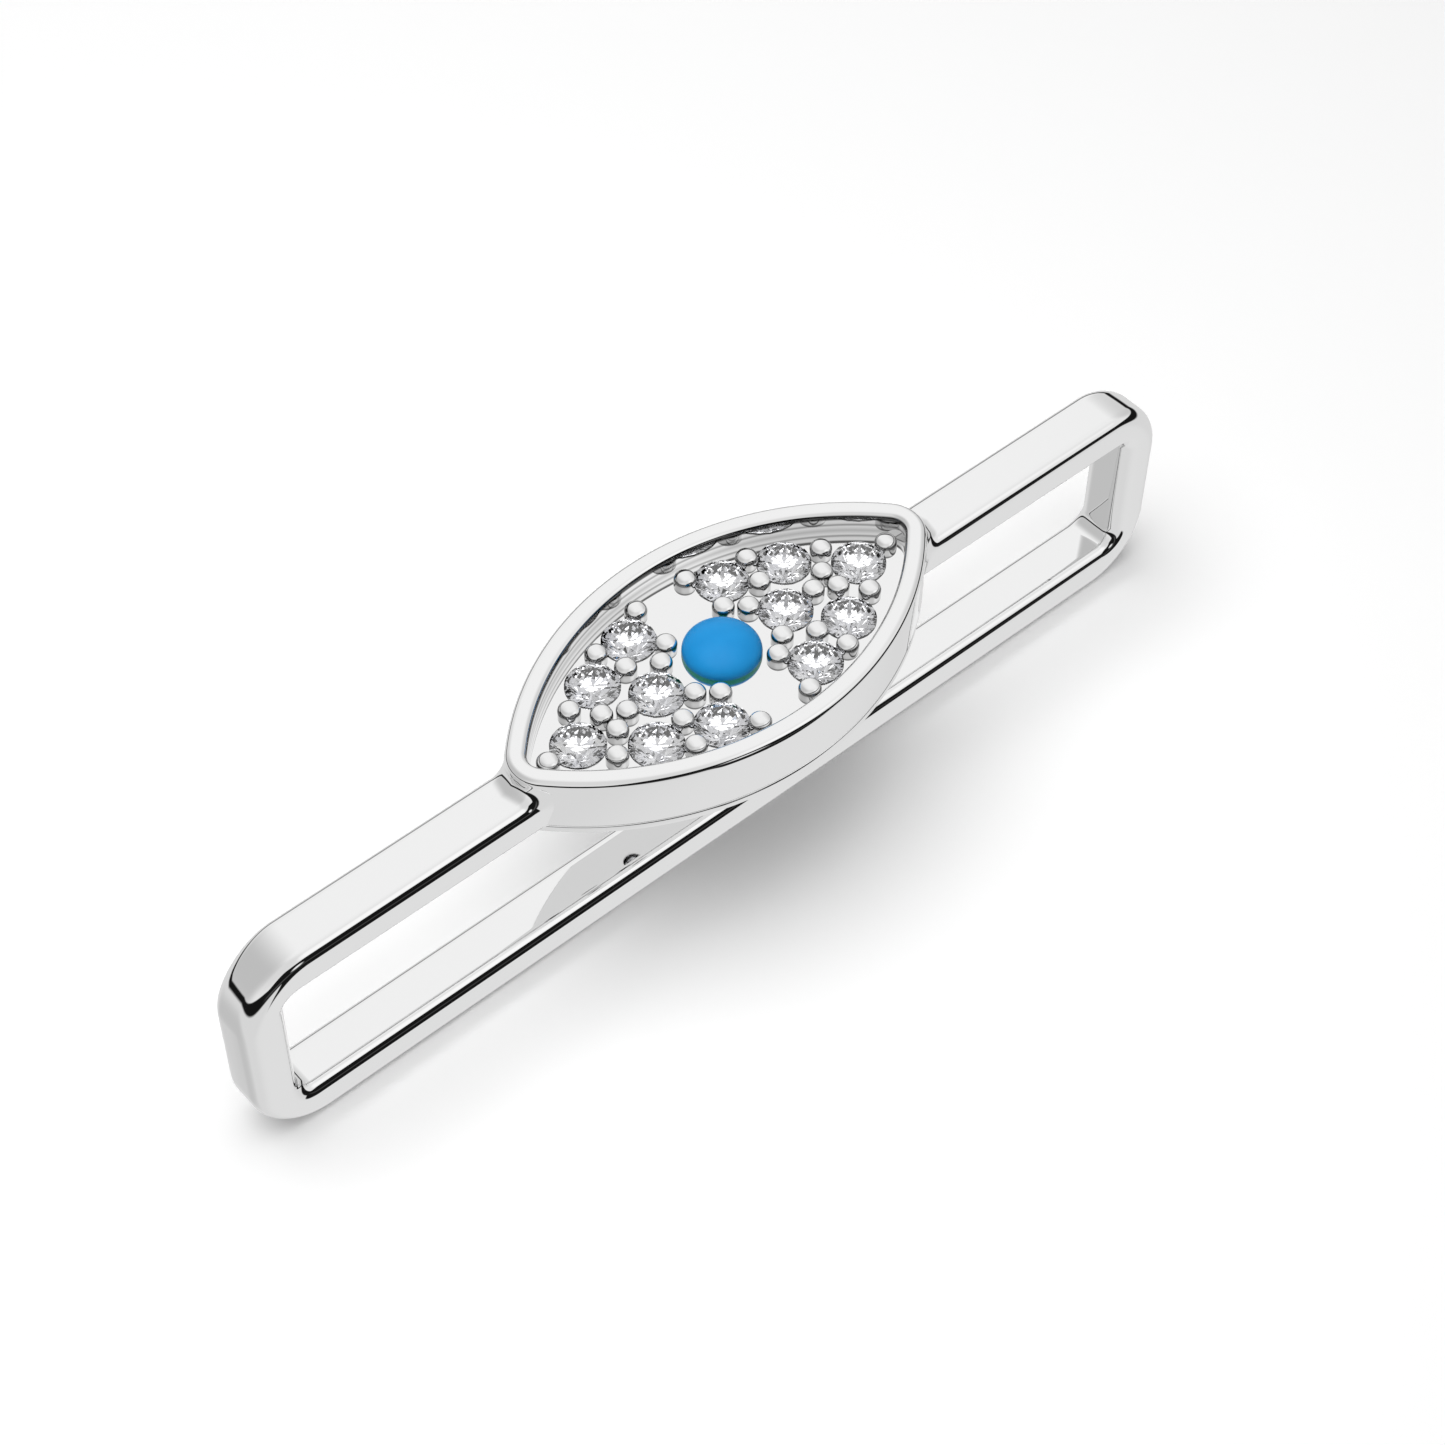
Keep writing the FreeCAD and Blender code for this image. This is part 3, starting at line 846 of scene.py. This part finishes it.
bench = bmesh.new()
bmesh.ops.create_grid(bench, x_segments=1, y_segments=1, size=FLOOR_REACH)
floor_mesh = bpy.data.meshes.new("studio_floor")
bench.to_mesh(floor_mesh)
bench.free()
floor_finish, nodes, links, shader = new_finish("plain pale floor")
shader.inputs["Base Color"].default_value = (0.9, 0.9, 0.9, 1)
shader.inputs["Roughness"].default_value = 1.0
shader.inputs["Specular IOR Level"].default_value = 0.0
shader.inputs["Emission Color"].default_value = (1, 1, 1, 1)
shader.inputs["Emission Strength"].default_value = FLOOR_GLOW
floor_mesh.materials.append(floor_finish)
studio_floor = bpy.data.objects.new("studio_floor", floor_mesh)
bpy.context.scene.collection.objects.link(studio_floor)
studio_floor.visible_glossy = False
studio_floor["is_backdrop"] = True
print("floor laid,", 2 * FLOOR_REACH, "m across")


# %% Start the dome
dome = bpy.data.worlds.new("soft studio dome")
bpy.context.scene.world = dome
dome.use_nodes = True
dome.cycles_visibility.diffuse = False
sky_nodes, sky_links = dome.node_tree.nodes, dome.node_tree.links
sky_way = sky_nodes.new("ShaderNodeTexCoord").outputs["Generated"]
sky_split = sky_nodes.new("ShaderNodeSeparateXYZ")
sky_links.new(sky_way, sky_split.inputs[0])
sky_x, sky_y, sky_z = sky_split.outputs


def work(kind, *values):
    """One step of arithmetic. Each value is a number or the result of an earlier step."""
    node = sky_nodes.new("ShaderNodeMath")
    node.operation = kind
    for socket, value in zip(node.inputs, values):
        if isinstance(value, (int, float)):
            socket.default_value = value
        else:
            sky_links.new(value, socket)
    return node.outputs[0]


def ramp(value, start, end, low=0.0, high=1.0):
    """Goes smoothly from low to high while the value goes from start to end."""
    node = sky_nodes.new("ShaderNodeMapRange")
    node.interpolation_type = "SMOOTHSTEP"
    for name, number in (("From Min", start), ("From Max", end), ("To Min", low),
                         ("To Max", high)):
        node.inputs[name].default_value = number
    sky_links.new(value, node.inputs["Value"])
    return node.outputs[0]


def patch(turn, lift, width, gain):
    """A soft round patch that is brighter or darker by gain. It is at an angle round the object
    and an angle above the floor, and reaches width degrees from there."""
    turn, lift = math.radians(turn), math.radians(lift)
    near_it = sky_nodes.new("ShaderNodeVectorMath")
    near_it.operation = "DOT_PRODUCT"
    sky_links.new(sky_way, near_it.inputs[0])
    near_it.inputs[1].default_value = (math.cos(turn) * math.cos(lift),
                                       math.sin(turn) * math.cos(lift), math.sin(lift))
    return ramp(near_it.outputs["Value"], math.cos(math.radians(width)), 1.0, 0.0, gain)


def patched(glow, patches):
    """Adds a row of patches to a glow."""
    for row in patches:
        glow = work("ADD", glow, patch(*row))
    return glow


print("dome started:", dome.name)


# %% [markdown]
# The dome's two pale halves are uneven, as a real studio is, so the flats of the metal differ in
# tone. Angles round the object count from the right: 90 is behind it and -90 is in front. The dark
# band's two edges are heights in degrees that change with the direction round the object.

# %% Paint the pale halves of the dome
UPPER_GLOW, LOWER_GLOW = 0.80, 0.69
# angle round the object, angle above the floor, reach, gain
UPPER_PATCHES = ((49, 52, 55, 0.10), (140, 30, 60, -0.28), (10, 22, 35, -0.22),
                 (-62, 44, 22, 0.18), (-131, 50, 45, -0.10))
LOWER_PATCHES = ((148, -43, 34, -0.16), (-60, -60, 40, 0.06))
WINDOW = (-86, 6, 9, 0.9)   # a small bright window in the dark band

upper = patched(UPPER_GLOW, UPPER_PATCHES)
lower = patched(LOWER_GLOW, LOWER_PATCHES)
print("patches:", len(UPPER_PATCHES), "above and", len(LOWER_PATCHES), "below")

# %% Paint the dark band
BAND_TURN, DEEP_TURN = -90, -76                       # where it is tallest and where deepest
TOP_BEHIND, TOP_WIDE, TOP_NEAR = 5.0, 5.0, 19.0       # top edge, with what the front adds
LOW_BEHIND, LOW_WIDE, LOW_DEEP = -5.0, -10.0, -26.0   # low edge, with what the front adds
TOP_BLUR, LOW_BLUR = 1.5, 2.5                         # half width of each soft edge
NEAR, WIDE, DEEP = (0.80, 0.96), (-0.4, 0.8), (0.93, 0.985)   # cosines: 1 is straight at it
STREAK_LIFT, STREAK_REACH, STREAK_GLOW = -6.0, 5.0, 0.07   # a faint line of light in the band
BAND_GLOW = 0.008       # the band is not quite black
NEVER_ZERO = 0.0001     # keeps a division safe straight up

lift = work("MULTIPLY", work("ARCSINE", sky_z), 180 / math.pi)
level = work("SQRT", work("ADD", work("MULTIPLY", sky_x, sky_x), work("MULTIPLY", sky_y, sky_y)))


def looks_to(turn):
    """1 towards an angle round the object, 0 square to it and -1 away from it."""
    turn = math.radians(turn)
    return work("DIVIDE", work("ADD", work("MULTIPLY", sky_x, math.cos(turn)),
                               work("MULTIPLY", sky_y, math.sin(turn))),
                work("MAXIMUM", level, NEVER_ZERO))


front = looks_to(BAND_TURN)
near, wide, deep = ramp(front, *NEAR), ramp(front, *WIDE), ramp(looks_to(DEEP_TURN), *DEEP)
top_edge = work("ADD", work("MULTIPLY_ADD", near, TOP_NEAR, TOP_BEHIND),
                work("MULTIPLY", wide, TOP_WIDE))
low_edge = work("ADD", work("MULTIPLY_ADD", deep, LOW_DEEP, LOW_BEHIND),
                work("MULTIPLY", wide, LOW_WIDE))
above = ramp(work("SUBTRACT", lift, top_edge), -TOP_BLUR, TOP_BLUR)
below = ramp(work("SUBTRACT", lift, low_edge), LOW_BLUR, -LOW_BLUR)
off_streak = work("ABSOLUTE", work("ADD", lift, -STREAK_LIFT))
streak = work("MULTIPLY", ramp(off_streak, STREAK_REACH, 0.0), STREAK_GLOW)
halves = work("ADD", work("MULTIPLY", above, upper), work("MULTIPLY", below, lower))
bright = work("ADD", halves, work("MULTIPLY", streak, near))
bright = work("ADD", work("ADD", bright, patch(*WINDOW)), BAND_GLOW)
glow = sky_nodes["Background"]
sky_links.new(bright, glow.inputs["Strength"])
glow.inputs["Color"].default_value = (1, 1, 1, 1)
print("dome painted:", len(sky_nodes), "nodes")


# %% [markdown]
# ## Key light
#
# The dome is only for the reflections: matt surfaces don't see it. They are lit by one big round
# softbox above the object, a little to the left, so the shadow falls softly under the head and to
# the right. The mirror finish doesn't see it. A second, weaker softbox is seen only through the
# clear stones, which gives their facets white flashes beside the grey ones.

# %% Hang the softboxes
def softbox(name, place_mm, across_mm, brightness, in_stones):
    """A round soft light that looks at the object. brightness is the light that each bit of its
    face gives off. in_stones says whether it is for the clear stones alone or for the matt
    surfaces alone."""
    lamp = bpy.data.lights.new(name, "AREA")
    lamp.shape = "DISK"
    across = across_mm * MM
    lamp.size = across
    lamp.energy = brightness * math.pi * math.pi * (across / 2) ** 2
    box = bpy.data.objects.new(name, lamp)
    bpy.context.scene.collection.objects.link(box)
    box.location = Vector(place_mm) * MM
    box.rotation_euler = box.location.to_track_quat("Z", "Y").to_euler()
    box.visible_glossy = False
    box.visible_transmission = in_stones
    box.visible_diffuse = not in_stones
    return box


key = softbox("key_softbox", (-20, 8, 140), 168, brightness=3.8, in_stones=False)
sparkle = softbox("sparkle_softbox", (6, 10, 60), 62, brightness=2.1, in_stones=True)
for box in (key, sparkle):
    print(box.name, "hung at", [round(c / MM, 1) for c in box.location], "mm")


# %% [markdown]
# ## The camera
#
# The camera looks down at the slide from its front left, with a fairly long lens from close by,
# and is rolled a little under one degree. Its place comes from an angle round the object, an
# angle above the floor and a distance from the point it aims at.

# %% Set the camera
VIEW_TURN = math.radians(-41.4505)   # 0 is straight in front, and below 0 is to the left
VIEW_LIFT = math.radians(50.6202)
VIEW_ROLL = math.radians(0.694)
VIEW_AIM = Vector((1.874, 2.073, 0)) * MM
VIEW_REACH = 76.21 * MM

camera_data = bpy.data.cameras.new("studio_camera")
camera_data.sensor_width = 36
camera_data.lens = 75.83
camera_data.clip_start = 0.005
camera_data.clip_end = 20
camera = bpy.data.objects.new("studio_camera", camera_data)
bpy.context.scene.collection.objects.link(camera)
back = Vector((math.sin(VIEW_TURN) * math.cos(VIEW_LIFT),
               -math.cos(VIEW_TURN) * math.cos(VIEW_LIFT), math.sin(VIEW_LIFT)))
right = Vector((math.cos(VIEW_TURN), math.sin(VIEW_TURN), 0))
up = back.cross(right)
rolled_right = math.cos(VIEW_ROLL) * right + math.sin(VIEW_ROLL) * up
rolled_up = math.cos(VIEW_ROLL) * up - math.sin(VIEW_ROLL) * right
camera.matrix_world = Matrix((
    (rolled_right.x, rolled_up.x, back.x, VIEW_AIM.x + back.x * VIEW_REACH),
    (rolled_right.y, rolled_up.y, back.y, VIEW_AIM.y + back.y * VIEW_REACH),
    (rolled_right.z, rolled_up.z, back.z, VIEW_AIM.z + back.z * VIEW_REACH),
    (0, 0, 0, 1)))
bpy.context.scene.camera = camera
bpy.context.scene.view_settings.view_transform = "Standard"
bpy.context.scene.view_settings.look = "None"
print("camera at", [round(c / MM, 2) for c in camera.matrix_world.translation], "mm")


# %% [markdown]
# ## The size of the finished pieces
#
# The finished pieces must stay inside the box that the CAD model gave. The last line prints the
# size of their box.

# %% Print the size of the finished pieces
low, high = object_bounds()
print("visual box in mm:", [round((b - a) / MM, 3) for a, b in zip(low, high)])
